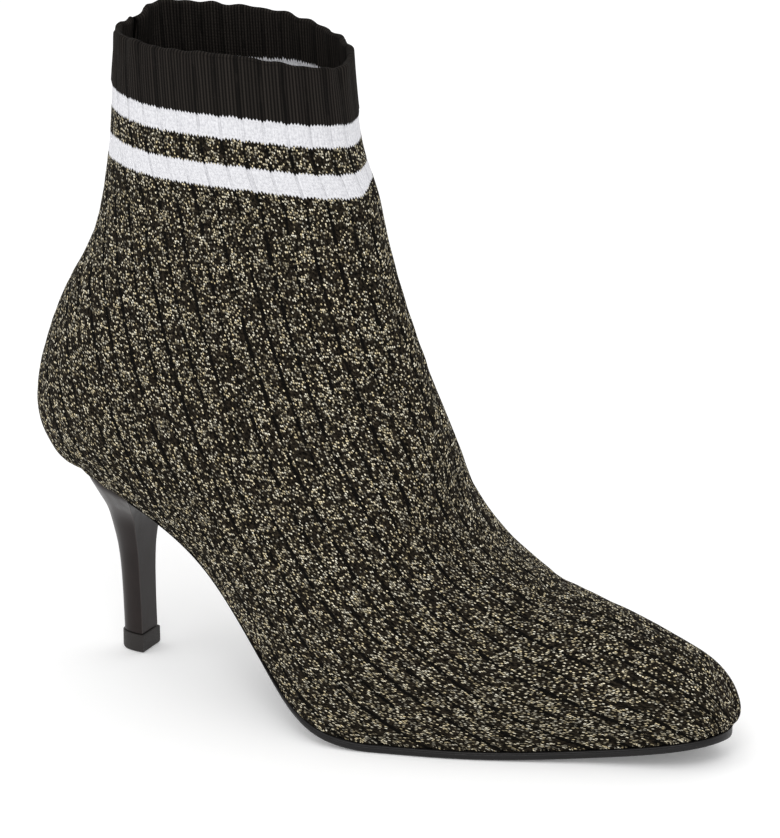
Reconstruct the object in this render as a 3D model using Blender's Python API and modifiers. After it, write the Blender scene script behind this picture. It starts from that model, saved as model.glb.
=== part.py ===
"""Sock ankle boot with a pointed toe and a slim heel, right foot, in metres.

X runs from the heel to the toe, Z is up, and the outer (lateral) side of the foot is at -Y.
The origin is the middle of the heel tip's underside, on the plane that the boot stands on.
Lengths in the tables are shares of the named sizes, and X in them starts at the boot's back.
"""
import math
from collections import namedtuple

import bmesh
import bpy
import numpy as np

for old in list(bpy.data.objects):
    bpy.data.objects.remove(old, do_unlink=True)
BOOT = bpy.data.collections.new("ankle_boot")
bpy.context.scene.collection.children.link(BOOT)

# Driving sizes of the last
LENGTH = 0.252            # back of the boot to the tip of the toe
BALL_WIDTH = 0.081        # across the feather edge at the ball of the foot
ANKLE_WIDTH = 0.062       # across the knit at the ankle and the collar
INSTEP_RISE = 0.070       # top of the instep above the sole
SHAFT_RISE = 0.156        # collar above the heel seat
HEEL_RISE = 0.0635        # underside of the heel seat above the floor
TOE_SPRING = 0.0076       # underside of the toe above the floor
BALL_SKEW = 0.30          # how far the ball line slants forward, per metre towards the inner side

# Walls and clearances
UPPER_WALL = 0.0018
CUFF_STEP = 0.0006        # the ribbed cuff is thicker than the knit below it
CUFF_HEIGHT = 0.020
RIM_WAVE = 0.0008         # the rim of the cuff rises and falls with its ribs
SOLE_THICKNESS = 0.0028
WAIST_THICKNESS = 0.0020
SOLE_MARGIN = 0.0006      # the outsole stands out past the feather edge
SOLE_ROUND = 0.0009       # rounding of the outsole's edge
INSOLE_THICKNESS = 0.0020
GAP = 0.0003              # between pieces that touch
INSOLE_INSET = UPPER_WALL + 6 * GAP

# Heel
TIP_SETBACK = 0.0335      # middle of the heel tip from the back of the boot
TIP_HEIGHT = 0.0064
TIP_MARGIN = 0.0006       # the heel tip stands out past the stem
TIP_CHAMFER = 0.0006
SEAT_INSET = 0.0008       # the heel's seat stays inside the feather edge
BREAST_X = 0.168          # share of the length where the heel's breast meets the outsole

# The flat tread under the ball, shares of the length
TREAD_START = 0.635
TREAD_END = 0.735

# Fullness of the sections: 2 is an ellipse, more is squarer
LOWER_POWER = 2.3         # under the widest place
UPPER_POWER = 2.0         # over it
HEEL_BACK_POWER = 0.75    # below 1 the stem's back is flatter than half an ellipse

# Number of facets
STATIONS = 46             # sections of the upper below the cuff
CUFF_STATIONS = 5
TOE_CROWDING = 0.25       # share of the stations that crowd at the toe
TOE_REACH = 0.02          # how far from the toe they do so, share of LENGTH
HALF_POINTS = 17
EDGE_CROWDING = 1.3       # over 1 the points of a section crowd at the feather edge
PROFILE_STEPS = 60
PLATE_STATIONS = 34
PLATE_COLUMNS = 8
PLATE_EDGE = 0.35         # share of a plate's thickness that each of its edge's roundings takes
HEEL_POINTS = 20
OUTLINE_STEPS = 120
SEARCH_STEPS = 1500
RIM_WAVES = 13
THIN_SIDE = 0.010         # half width under which the cuff's step no longer widens a section
WELD = 1e-6
FLAT_ANGLE = math.radians(40)

# Underside of the sole behind the tread: x share of LENGTH, height share of HEEL_RISE
SOLE_ROWS = (
    (0.060, 1.000),
    (0.120, 0.970),
    (0.180, 0.915),
    (0.240, 0.812),
    (0.300, 0.669),
    (0.360, 0.497),
    (0.420, 0.322),
    (0.480, 0.170),
    (0.540, 0.068),
    (0.590, 0.018),
    (0.635, 0.000),
)

# Sections of the foot, from the tip of the toe to the back of the heel seat.
# x_base, x_crest: shares of LENGTH. rise: crest above the feather edge, share of INSTEP_RISE.
# y_base, y_crest: middle of the feather edge and the crest, and feather, side: half widths,
# shares of BALL_WIDTH. level: how high up the section it is widest. bow: share of INSTEP_RISE
# by which the section bulges forward.
Foot = namedtuple("Foot", "x_base y_base feather x_crest y_crest rise side level bow")
FOOT = (
    Foot(0.995, -0.025, 0.000, 0.994, -0.012, 0.140, 0.000, 0.45, 0.045),
    Foot(0.984, -0.030, 0.100, 0.970, 0.000, 0.265, 0.125, 0.43, 0.040),
    Foot(0.940, -0.030, 0.192, 0.915, 0.012, 0.392, 0.214, 0.41, 0.025),
    Foot(0.850, -0.018, 0.290, 0.822, 0.025, 0.530, 0.318, 0.38, 0.000),
    Foot(0.755, -0.012, 0.405, 0.728, 0.037, 0.615, 0.432, 0.36, 0.000),
    Foot(0.667, -0.032, 0.482, 0.652, 0.043, 0.765, 0.506, 0.34, 0.000),
    Foot(0.583, -0.078, 0.505, 0.618, 0.043, 0.890, 0.521, 0.34, 0.000),
    Foot(0.508, -0.137, 0.478, 0.602, 0.037, 0.950, 0.500, 0.36, 0.000),
    Foot(0.437, -0.142, 0.390, 0.597, 0.031, 0.934, 0.466, 0.38, 0.000),
    Foot(0.365, -0.109, 0.308, 0.587, 0.025, 0.868, 0.438, 0.40, 0.000),
    Foot(0.278, -0.052, 0.265, 0.578, 0.012, 0.759, 0.414, 0.42, 0.000),
    Foot(0.183, -0.012, 0.262, 0.570, 0.000, 0.689, 0.399, 0.44, 0.000),
    Foot(0.103, 0.000, 0.185, 0.563, 0.000, 0.699, 0.386, 0.45, 0.000),
    Foot(0.074, 0.000, 0.092, 0.561, 0.000, 0.713, 0.383, 0.45, 0.000),
    Foot(0.066, 0.000, 0.000, 0.559, 0.000, 0.731, 0.383, 0.45, 0.000),
)

# Sections of the ankle and shaft, from above the heel seat to the collar.
# x_back, x_front: shares of LENGTH. z_back, z_front: heights above the heel seat, shares of
# SHAFT_RISE. side: half width, share of ANKLE_WIDTH. level: where it is widest, back to front.
Shaft = namedtuple("Shaft", "x_back z_back x_front z_front side level")
SHAFT = (
    Shaft(0.034, 0.020, 0.554, 0.350, 0.500, 0.45),
    Shaft(0.006, 0.088, 0.547, 0.378, 0.500, 0.45),
    Shaft(0.001, 0.175, 0.538, 0.416, 0.495, 0.46),
    Shaft(0.018, 0.288, 0.528, 0.461, 0.480, 0.46),
    Shaft(0.053, 0.419, 0.514, 0.529, 0.465, 0.47),
    Shaft(0.095, 0.540, 0.500, 0.608, 0.465, 0.48),
    Shaft(0.117, 0.670, 0.487, 0.680, 0.480, 0.49),
    Shaft(0.129, 0.790, 0.465, 0.770, 0.492, 0.50),
    Shaft(0.140, 1.006, 0.451, 0.945, 0.494, 0.50),
)

# Rings of the heel, from the heel tip to the seat. height: share of the way up. back, breast:
# from the middle of the heel tip, shares of TIP_SETBACK. half: half width, share of the same.
# seat: how far the ring has changed to the outline and the slope of the heel seat.
Ring = namedtuple("Ring", "height back breast half seat")
HEEL = (
    Ring(0.00, -0.143, 0.134, 0.158, 0.00),
    Ring(0.18, -0.152, 0.128, 0.158, 0.00),
    Ring(0.36, -0.164, 0.122, 0.167, 0.00),
    Ring(0.54, -0.194, 0.122, 0.191, 0.00),
    Ring(0.68, -0.236, 0.128, 0.236, 0.03),
    Ring(0.80, -0.285, 0.152, 0.310, 0.08),
    Ring(0.89, -0.340, 0.194, 0.420, 0.24),
    Ring(0.96, -0.400, 0.240, 0.520, 0.60),
    Ring(1.00, -0.460, 0.260, 0.600, 1.00),
)


def spline(knots, values, at):
    """Natural cubic spline through (knots, values), read at the places `at`."""
    knots = np.asarray(knots, float)
    values = np.asarray(values, float)
    count = len(knots)
    step = np.diff(knots)
    matrix = np.eye(count)
    right = np.zeros(count)
    for i in range(1, count - 1):
        matrix[i, i - 1:i + 2] = step[i - 1], 2 * (step[i - 1] + step[i]), step[i]
        slope = (values[i + 1] - values[i]) / step[i] - (values[i] - values[i - 1]) / step[i - 1]
        right[i] = 6 * slope
    bend = np.linalg.solve(matrix, right)
    i = np.clip(np.searchsorted(knots, at, side="right") - 1, 0, count - 2)
    width = step[i]
    a = (knots[i + 1] - at) / width
    b = (at - knots[i]) / width
    line = a * values[i] + b * values[i + 1]
    return line + ((a ** 3 - a) * bend[i] + (b ** 3 - b) * bend[i + 1]) * width ** 2 / 6


def smooth_ramp(value, start, end):
    """0 before start, 1 after end, and a smooth rise between them."""
    t = np.clip((value - start) / (end - start), 0, 1)
    return t * t * (3 - 2 * t)


def tread_height(x, y):
    """Height of the sole's underside at x from the back and y."""
    x = np.asarray(x, float)
    y = np.asarray(y, float)
    tread = TREAD_START * LENGTH
    slanted = x - BALL_SKEW * y * smooth_ramp(x, BREAST_X * LENGTH, tread)
    rows = np.array(SOLE_ROWS)
    knots = np.concatenate([rows[:, 0], 2 * TREAD_START - rows[-2::-1, 0]])
    heights = np.concatenate([rows[:, 1], rows[-2::-1, 1]])
    share = np.clip(slanted / LENGTH, rows[0, 0], TREAD_START)
    arch = spline(knots, heights * HEEL_RISE, share)
    past = np.clip((slanted / LENGTH - TREAD_END) / (1 - TREAD_END), 0, None)
    return np.maximum(arch, 0) * (slanted < tread) + TOE_SPRING * past ** 2


def sole_depth(x):
    """Thickness of the outsole, which thins towards the waist."""
    forward = smooth_ramp(np.asarray(x, float), 0.36 * LENGTH, 0.56 * LENGTH)
    return WAIST_THICKNESS + (SOLE_THICKNESS - WAIST_THICKNESS) * forward


def sole_top(x, y):
    """Top of the outsole and of the heel's seat."""
    return tread_height(x, y) + sole_depth(x)


def world(x, y, z):
    """Point in the boot's frame from x measured at the boot's back."""
    return (float(x) - TIP_SETBACK, float(y), float(z))


# Sections of the upper as splines over the row number
FOOT_LAST = len(FOOT) - 1
ROW_LAST = FOOT_LAST + len(SHAFT)
ROWS = np.arange(ROW_LAST + 1)


def foot_column(name, size):
    return [getattr(row, name) * size for row in FOOT]


def shaft_column(name, size):
    return [getattr(row, name) * size for row in SHAFT]


def section_values():
    """Each value of the sections, one number for each row from the toe to the collar."""
    x_base = foot_column("x_base", LENGTH) + shaft_column("x_back", LENGTH)
    x_crest = foot_column("x_crest", LENGTH) + shaft_column("x_front", LENGTH)
    y_base = foot_column("y_base", BALL_WIDTH) + [0.0] * len(SHAFT)
    y_crest = foot_column("y_crest", BALL_WIDTH) + [0.0] * len(SHAFT)
    side = foot_column("side", BALL_WIDTH) + shaft_column("side", ANKLE_WIDTH)
    level = foot_column("level", 1.0) + shaft_column("level", 1.0)
    bow = foot_column("bow", INSTEP_RISE) + [0.0] * len(SHAFT)
    feather_z = [float(sole_top(row.x_base * LENGTH, row.y_base * BALL_WIDTH)) + GAP for row in FOOT]
    seat = feather_z[-1]
    z_crest = [z + row.rise * INSTEP_RISE for z, row in zip(feather_z, FOOT)]
    z_crest += [seat + row.z_front * SHAFT_RISE for row in SHAFT]
    z_back = [seat] + [seat + row.z_back * SHAFT_RISE for row in SHAFT]
    return dict(x_base=x_base, x_crest=x_crest, y_base=y_base, y_crest=y_crest, side=side,
                level=level, bow=bow, z_crest=z_crest, z_back=z_back,
                feather=foot_column("feather", BALL_WIDTH))


VALUES = section_values()


def along_sole(name, sign):
    """Knots and values of a column of the feather edge, which turns round at toe and heel.

    The rows next to both ends are repeated beyond them, mirrored, so that the ends are round.
    """
    values = VALUES[name][:FOOT_LAST + 1]
    return np.arange(-1, FOOT_LAST + 2), [sign * values[1]] + values + [sign * values[-2]]


def along_boot(name, sign):
    """Knots and values of a column that runs from the toe to the collar."""
    return np.concatenate([[-1], ROWS]), [sign * VALUES[name][1]] + VALUES[name]


def section_at(s):
    """All the section's values at row number s, which may lie between two rows."""
    out = {}
    for name in ("x_crest", "y_crest", "level", "bow", "z_crest"):
        out[name] = float(spline(*along_boot(name, 1), s))
    out["side"] = max(float(spline(*along_boot("side", -1), s)), 0.0)
    out["y_base"] = out["feather"] = 0.0
    if s <= FOOT_LAST:
        out["x_base"] = float(spline(*along_sole("x_base", 1), s))
        out["y_base"] = float(spline(*along_sole("y_base", 1), s))
        out["z_base"] = float(sole_top(out["x_base"], out["y_base"])) + GAP
        feather = max(float(spline(*along_sole("feather", -1), s)), 0.0)
        out["feather"] = min(feather, out["side"])
    else:
        back = np.arange(FOOT_LAST, ROW_LAST + 1)
        out["x_base"] = float(spline(back, VALUES["x_base"][FOOT_LAST:], s))
        out["z_base"] = float(spline(back, VALUES["z_back"], s))
    if s <= 0:
        out["feather"] = out["side"] = 0.0
    if s >= FOOT_LAST:
        out["feather"] = 0.0
    return out


def half_profile(feather, side, level):
    """Half a section from feather edge to crest: (half width, share of the height)."""
    t = np.linspace(0, math.pi / 2, PROFILE_STEPS)
    closed = 1 - feather / side if side > 0 else 1.0
    low_y = feather + (side - feather) * np.sin(t) ** (2 / LOWER_POWER)
    drop = 1 - np.cos(t) ** (2 / LOWER_POWER)
    low_h = level * (closed * drop + (1 - closed) * t / (math.pi / 2))
    high_y = side * np.cos(t) ** (2 / UPPER_POWER)
    high_h = level + (1 - level) * np.sin(t) ** (2 / UPPER_POWER)
    return np.concatenate([low_y, high_y[1:]]), np.concatenate([low_h, high_h[1:]])


def even_points(points, count, crowding=1.0):
    """`count` points along a polyline, evenly spaced or, with crowding over 1, denser at its start."""
    leg = np.linalg.norm(np.diff(points, axis=0), axis=1)
    run = np.concatenate([[0], np.cumsum(leg)])
    at = run[-1] * np.linspace(0, 1, count) ** crowding
    return np.stack([np.interp(at, run, points[:, k]) for k in range(3)], axis=1)


def section_points(s, outward=0.0):
    """One section of the upper from the outer feather edge over the crest to the inner one."""
    v = section_at(s)
    half_y, h = half_profile(v["feather"], v["side"], v["level"])
    halves = []
    for sign in (-1, 1):
        middle = v["y_base"] + (v["y_crest"] - v["y_base"]) * h
        y = middle + sign * half_y * (1 + outward / max(v["side"], THIN_SIDE))
        x = v["x_base"] + (v["x_crest"] - v["x_base"]) * h + 4 * v["bow"] * h * (1 - h)
        x = x + outward * (2 * h - 1) * (s > FOOT_LAST)
        z = v["z_base"] + (v["z_crest"] - v["z_base"]) * h
        if s <= FOOT_LAST:
            slant = sole_top(np.full_like(y, v["x_base"]), y) + GAP - v["z_base"]
            z = z + slant * (1 - h)
        halves.append(even_points(np.stack([x, y, z], axis=1), HALF_POINTS, EDGE_CROWDING))
    return np.vstack([halves[0], halves[1][::-1][1:]])


def upper_rows():
    """Row numbers of the stations: evenly spaced along the boot, closer at the cuff's step."""
    dense = np.linspace(0, ROW_LAST, SEARCH_STEPS)
    middles = []
    for s in dense:
        v = section_at(s)
        middles.append((v["x_base"] + v["x_crest"], v["z_base"] + v["z_crest"]))
    leg = np.linalg.norm(np.diff(np.array(middles), axis=0), axis=1) / 2
    run = np.concatenate([[0], np.cumsum(leg)])
    stretch = run + TOE_CROWDING * run[-1] * (1 - np.exp(-run / (TOE_REACH * LENGTH)))
    cuff = run[-1] - CUFF_HEIGHT
    body = np.interp(np.linspace(0, np.interp(cuff, run, stretch), STATIONS), stretch, dense)
    ledge = np.interp(cuff + 2 * CUFF_STEP, run, dense)
    top = np.linspace(ledge, ROW_LAST, CUFF_STATIONS)
    return body, top


def face_out(mesh):
    """Point all faces of a closed mesh outwards."""
    bmesh.ops.recalc_face_normals(mesh, faces=mesh.faces)
    if mesh.calc_volume(signed=True) < 0:
        bmesh.ops.reverse_faces(mesh, faces=mesh.faces)


def loft(mesh_rows):
    """Open surface through rows of points, with the points that coincide welded."""
    mesh = bmesh.new()
    rings = [[mesh.verts.new(world(*p)) for p in row] for row in mesh_rows]
    for a, b in zip(rings, rings[1:]):
        for i in range(len(a) - 1):
            mesh.faces.new((a[i], a[i + 1], b[i + 1], b[i]))
    bmesh.ops.remove_doubles(mesh, verts=mesh.verts, dist=WELD)
    bmesh.ops.dissolve_degenerate(mesh, edges=mesh.edges, dist=WELD / 10)
    bmesh.ops.recalc_face_normals(mesh, faces=mesh.faces)
    return mesh


def finish(name, mesh, material):
    """Turn a bmesh into a smooth-shaded object with its material."""
    data = bpy.data.meshes.new(name)
    mesh.to_mesh(data)
    mesh.free()
    data.materials.append(material)
    piece = bpy.data.objects.new(name, data)
    BOOT.objects.link(piece)
    data.shade_smooth()
    data.set_sharp_from_angle(angle=FLAT_ANGLE)
    return piece


def surface(name, colour, roughness, coat=0.0):
    """Plain Principled material."""
    material = bpy.data.materials.new(name)
    material.use_nodes = True
    shader = material.node_tree.nodes["Principled BSDF"]
    shader.inputs["Base Color"].default_value = (*colour, 1)
    shader.inputs["Roughness"].default_value = roughness
    shader.inputs["Metallic"].default_value = 0.0
    shader.inputs["Coat Weight"].default_value = coat
    return material


def make_upper():
    """The knitted shell: an open surface over the last, given its wall inwards."""
    body, cuff = upper_rows()
    rows = [section_points(s) for s in body]
    rows += [section_points(s, CUFF_STEP) for s in cuff]
    around = np.linspace(0, 2 * math.pi, len(rows[-1]))
    rows[-1][:, 2] += RIM_WAVE * np.cos(RIM_WAVES * around)
    mesh = loft(rows)
    piece = finish("upper", mesh, surface("knit", (0.05, 0.045, 0.035), 0.75))
    wall = piece.modifiers.new("wall", "SOLIDIFY")
    wall.thickness = UPPER_WALL
    wall.offset = -1
    wall.use_rim = True
    return piece


def feather_edge(rows, margin):
    """Outer and inner points (x, y) of the feather edge, moved outwards by a margin."""
    left = []
    right = []
    for s in rows:
        v = section_at(s)
        left.append((v["x_base"], v["y_base"] - v["feather"]))
        right.append((v["x_base"], v["y_base"] + v["feather"]))
    loop = np.array(left[::-1] + right[1:])
    tangent = np.gradient(loop, axis=0)
    tangent /= np.linalg.norm(tangent, axis=1)[:, None]
    outward = np.stack([tangent[:, 1], -tangent[:, 0]], axis=1)
    middle = len(left) - 1
    outward[middle] = (1, 0)
    loop = loop + margin * outward
    return loop[:middle + 1][::-1], loop[middle:]


def plate(left, right, top, bottom, rounding, ends_closed):
    """Closed plate between two edges, with its top and bottom from functions of x and y."""
    share = np.linspace(0, 1, PLATE_COLUMNS + 1)
    mesh = bmesh.new()
    rings = []
    for a, b in zip(left, right):
        width = max(np.linalg.norm(b - a), WELD)
        inset = min(rounding / width, 0.5)
        ring = []
        for t in inset + (1 - 2 * inset) * share:
            x, y = a + (b - a) * t
            ring.append((x, y, top(x, y)))
        high = top(*b)
        low = bottom(*b)
        ring.append((*b, high - PLATE_EDGE * (high - low)))
        ring.append((*b, low + PLATE_EDGE * (high - low)))
        for t in (inset + (1 - 2 * inset) * share)[::-1]:
            x, y = a + (b - a) * t
            ring.append((x, y, bottom(x, y)))
        high = top(*a)
        low = bottom(*a)
        ring.append((*a, low + PLATE_EDGE * (high - low)))
        ring.append((*a, high - PLATE_EDGE * (high - low)))
        rings.append([mesh.verts.new(world(*p)) for p in ring])
    for a, b in zip(rings, rings[1:]):
        for i in range(len(a)):
            j = (i + 1) % len(a)
            mesh.faces.new((a[i], a[j], b[j], b[i]))
    if not ends_closed:
        mesh.faces.new(rings[-1])
    bmesh.ops.remove_doubles(mesh, verts=mesh.verts, dist=WELD)
    bmesh.ops.dissolve_degenerate(mesh, edges=mesh.edges, dist=WELD / 10)
    face_out(mesh)
    return mesh


def rows_to(x_share):
    """Row number where the feather edge has come back to a share of the length."""
    dense = np.linspace(0, FOOT_LAST, SEARCH_STEPS)
    x = np.array([section_at(s)["x_base"] for s in dense])
    return float(np.interp(-x_share * LENGTH, -x, dense))


def spread_rows(first, last, count, crowd_last):
    """Row numbers from first to last, close together where the outline turns round an end."""
    t = np.linspace(0, 1, count)
    if crowd_last:
        t = (1 - np.cos(math.pi * t)) / 2
    else:
        t = 1 - np.cos(math.pi / 2 * t)
    return first + (last - first) * t


def make_outsole():
    last = rows_to(BREAST_X)
    left, right = feather_edge(spread_rows(0.0, last, PLATE_STATIONS, False), SOLE_MARGIN)
    start = BREAST_X * LENGTH + GAP
    left[-1, 0] = right[-1, 0] = start
    mesh = plate(left, right, sole_top, tread_height, SOLE_ROUND, False)
    return finish("outsole", mesh, surface("sole_rubber", (0.012, 0.012, 0.012), 0.4))


def make_insole():
    left, right = feather_edge(spread_rows(0.0, FOOT_LAST, PLATE_STATIONS, True), -INSOLE_INSET)
    left[0] = right[0] = (left[0] + right[0]) / 2
    left[-1] = right[-1] = (left[-1] + right[-1]) / 2

    def low(x, y):
        return sole_top(x, y) + GAP

    def high(x, y):
        return sole_top(x, y) + GAP + INSOLE_THICKNESS

    mesh = plate(left, right, high, low, SOLE_ROUND / 2, True)
    return finish("insole", mesh, surface("insole_lining", (0.03, 0.028, 0.025), 0.7))


def polar_outline(loop, centre_x):
    """Points of an outline at even angles round the middle of the breast, outer side first."""
    angle = np.unwrap(np.arctan2(centre_x - loop[:, 0], -loop[:, 1]))
    at = np.linspace(0, math.pi, HEEL_POINTS + 1)
    return np.stack([np.interp(at, angle, loop[:, k]) for k in range(2)], axis=1)


def stem_outline(back, breast, half):
    """D-shaped outline of the stem, from its outer breast corner round the back."""
    t = np.linspace(0, math.pi, OUTLINE_STEPS)
    x = TIP_SETBACK + breast - (breast - back) * np.sin(t) ** HEEL_BACK_POWER
    y = -half * np.cos(t)
    return polar_outline(np.stack([x, y], axis=1), TIP_SETBACK + breast)


def seat_outline():
    """Outline of the heel's seat inside the feather edge, from the outer breast corner."""
    breast = BREAST_X * LENGTH
    sections = [section_at(s) for s in np.linspace(rows_to(BREAST_X), FOOT_LAST, OUTLINE_STEPS)]
    outer = [(v["x_base"], v["y_base"] - v["feather"]) for v in sections]
    inner = [(v["x_base"], v["y_base"] + v["feather"]) for v in sections]
    loop = np.array(outer + inner[-2::-1])
    centre = np.array([breast, 0.0])
    reach = np.linalg.norm(loop - centre, axis=1)
    loop = centre + (loop - centre) * (1 - SEAT_INSET / reach)[:, None]
    loop[0, 0] = loop[-1, 0] = breast
    return polar_outline(loop, breast)


def heel_rings():
    """Rings of points from the top of the heel tip to the seat."""
    seat = seat_outline()
    low = TIP_HEIGHT + GAP
    rings = []
    for row in HEEL:
        stem = stem_outline(row.back * TIP_SETBACK, row.breast * TIP_SETBACK,
                            row.half * TIP_SETBACK)
        loop = stem + (seat - stem) * row.seat
        high = sole_top(loop[:, 0], loop[:, 1])
        z = low + (high - low) * row.height
        rings.append([(x, y, h) for (x, y), h in zip(loop, z)])
    return rings


def make_heel():
    rings = heel_rings()
    mesh = bmesh.new()
    verts = [[mesh.verts.new(world(*p)) for p in ring] for ring in rings]
    for a, b in zip(verts, verts[1:]):
        for i in range(len(a)):
            j = (i + 1) % len(a)
            mesh.faces.new((a[i], a[j], b[j], b[i]))
    mesh.faces.new(verts[0])
    top = verts[-1]
    half = HEEL_POINTS // 2
    for i in range(half):
        mesh.faces.new((top[i], top[i + 1], top[-2 - i], top[-1 - i]) if i < half - 1
                       else (top[i], top[i + 1], top[-1 - i]))
    face_out(mesh)
    return finish("heel", mesh, surface("heel_leather", (0.03, 0.024, 0.022), 0.25, 0.5))


def make_heel_tip():
    first = HEEL[0]
    mesh = bmesh.new()
    rings = []
    for z, margin in ((0.0, TIP_MARGIN - TIP_CHAMFER), (TIP_CHAMFER, TIP_MARGIN),
                      (TIP_HEIGHT, TIP_MARGIN)):
        loop = stem_outline(first.back * TIP_SETBACK - margin,
                            first.breast * TIP_SETBACK + margin,
                            first.half * TIP_SETBACK + margin)
        rings.append([mesh.verts.new(world(x, y, z)) for x, y in loop])
    for a, b in zip(rings, rings[1:]):
        for i in range(len(a)):
            j = (i + 1) % len(a)
            mesh.faces.new((a[i], a[j], b[j], b[i]))
    mesh.faces.new(rings[0])
    mesh.faces.new(rings[-1])
    face_out(mesh)
    return finish("heel_tip", mesh, surface("tip_rubber", (0.03, 0.028, 0.027), 0.55))


make_upper()
make_insole()
make_outsole()
make_heel()
make_heel_tip()
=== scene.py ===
"""Looks of the sock ankle boot: knitted upper, heel, soles, studio floor, light and camera.

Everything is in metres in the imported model's frame: X from the heel to the toe, Z up, and the
outer side of the foot at -Y. The upper's form comes from the same sections as the CAD part.
"""
import math
from collections import namedtuple

import bmesh
import bpy
import numpy as np
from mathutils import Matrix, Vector


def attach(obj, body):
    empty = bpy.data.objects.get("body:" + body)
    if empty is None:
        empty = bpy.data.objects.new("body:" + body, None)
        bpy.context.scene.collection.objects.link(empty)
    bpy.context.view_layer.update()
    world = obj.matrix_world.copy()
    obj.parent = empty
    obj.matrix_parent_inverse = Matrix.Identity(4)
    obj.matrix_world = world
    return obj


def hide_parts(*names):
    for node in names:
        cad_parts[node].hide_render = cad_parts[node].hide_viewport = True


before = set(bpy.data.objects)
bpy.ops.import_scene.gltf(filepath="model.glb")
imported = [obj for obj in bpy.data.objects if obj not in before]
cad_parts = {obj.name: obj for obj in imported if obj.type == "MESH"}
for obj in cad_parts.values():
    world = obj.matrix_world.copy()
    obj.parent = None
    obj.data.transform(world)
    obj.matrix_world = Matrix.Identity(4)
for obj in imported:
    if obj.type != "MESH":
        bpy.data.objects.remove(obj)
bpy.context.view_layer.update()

# Driving sizes of the last, as in the CAD part
LENGTH = 0.252
BALL_WIDTH = 0.081
ANKLE_WIDTH = 0.062
INSTEP_RISE = 0.070
SHAFT_RISE = 0.156
HEEL_RISE = 0.0635
TOE_SPRING = 0.0076
BALL_SKEW = 0.30
UPPER_WALL = 0.0018
CUFF_STEP = 0.0006
SOLE_THICKNESS = 0.0028
WAIST_THICKNESS = 0.0020
SOLE_MARGIN = 0.0006
GAP = 0.0003
TIP_SETBACK = 0.0335
TIP_HEIGHT = 0.0064
TIP_MARGIN = 0.0006
SEAT_INSET = 0.0008
BREAST_X = 0.168
TREAD_START = 0.635
TREAD_END = 0.735
LOWER_POWER = 2.3
UPPER_POWER = 2.0
HEEL_BACK_POWER = 0.75

# Underside of the sole behind the tread: x share of LENGTH, height share of HEEL_RISE
SOLE_ROWS = (
    (0.060, 1.000),
    (0.120, 0.970),
    (0.180, 0.915),
    (0.240, 0.812),
    (0.300, 0.669),
    (0.360, 0.497),
    (0.420, 0.322),
    (0.480, 0.170),
    (0.540, 0.068),
    (0.590, 0.018),
    (0.635, 0.000),
)

# Sections of the foot, toe to heel seat, in shares as in the CAD part
Foot = namedtuple("Foot", "x_base y_base feather x_crest y_crest rise side level bow")
FOOT = (
    Foot(0.995, -0.025, 0.000, 0.994, -0.012, 0.140, 0.000, 0.45, 0.045),
    Foot(0.984, -0.030, 0.100, 0.970, 0.000, 0.265, 0.125, 0.43, 0.040),
    Foot(0.940, -0.030, 0.192, 0.915, 0.012, 0.392, 0.214, 0.41, 0.025),
    Foot(0.850, -0.018, 0.290, 0.822, 0.025, 0.530, 0.318, 0.38, 0.000),
    Foot(0.755, -0.012, 0.405, 0.728, 0.037, 0.615, 0.432, 0.36, 0.000),
    Foot(0.667, -0.032, 0.482, 0.652, 0.043, 0.765, 0.506, 0.34, 0.000),
    Foot(0.583, -0.078, 0.505, 0.618, 0.043, 0.890, 0.521, 0.34, 0.000),
    Foot(0.508, -0.137, 0.478, 0.602, 0.037, 0.950, 0.500, 0.36, 0.000),
    Foot(0.437, -0.142, 0.390, 0.597, 0.031, 0.934, 0.466, 0.38, 0.000),
    Foot(0.365, -0.109, 0.308, 0.587, 0.025, 0.868, 0.438, 0.40, 0.000),
    Foot(0.278, -0.052, 0.265, 0.578, 0.012, 0.759, 0.414, 0.42, 0.000),
    Foot(0.183, -0.012, 0.262, 0.570, 0.000, 0.689, 0.399, 0.44, 0.000),
    Foot(0.103, 0.000, 0.185, 0.563, 0.000, 0.699, 0.386, 0.45, 0.000),
    Foot(0.074, 0.000, 0.092, 0.561, 0.000, 0.713, 0.383, 0.45, 0.000),
    Foot(0.066, 0.000, 0.000, 0.559, 0.000, 0.731, 0.383, 0.45, 0.000),
)

# Sections of the ankle and shaft, heel seat to collar, in shares as in the CAD part
Shaft = namedtuple("Shaft", "x_back z_back x_front z_front side level")
SHAFT = (
    Shaft(0.034, 0.020, 0.554, 0.350, 0.500, 0.45),
    Shaft(0.006, 0.088, 0.547, 0.378, 0.500, 0.45),
    Shaft(0.001, 0.175, 0.538, 0.416, 0.495, 0.46),
    Shaft(0.018, 0.288, 0.528, 0.461, 0.480, 0.46),
    Shaft(0.053, 0.419, 0.514, 0.529, 0.465, 0.47),
    Shaft(0.095, 0.540, 0.500, 0.608, 0.465, 0.48),
    Shaft(0.117, 0.670, 0.487, 0.680, 0.480, 0.49),
    Shaft(0.129, 0.790, 0.465, 0.770, 0.492, 0.50),
    Shaft(0.140, 1.006, 0.451, 0.945, 0.494, 0.50),
)

# Rings of the heel, tip to seat, in shares of TIP_SETBACK as in the CAD part
Ring = namedtuple("Ring", "height back breast half seat")
HEEL = (
    Ring(0.00, -0.143, 0.134, 0.158, 0.00),
    Ring(0.18, -0.152, 0.128, 0.158, 0.00),
    Ring(0.36, -0.164, 0.122, 0.167, 0.00),
    Ring(0.54, -0.194, 0.122, 0.191, 0.00),
    Ring(0.68, -0.236, 0.128, 0.236, 0.03),
    Ring(0.80, -0.285, 0.152, 0.310, 0.08),
    Ring(0.89, -0.340, 0.194, 0.420, 0.24),
    Ring(0.96, -0.400, 0.240, 0.520, 0.60),
    Ring(1.00, -0.460, 0.260, 0.600, 1.00),
)

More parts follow.
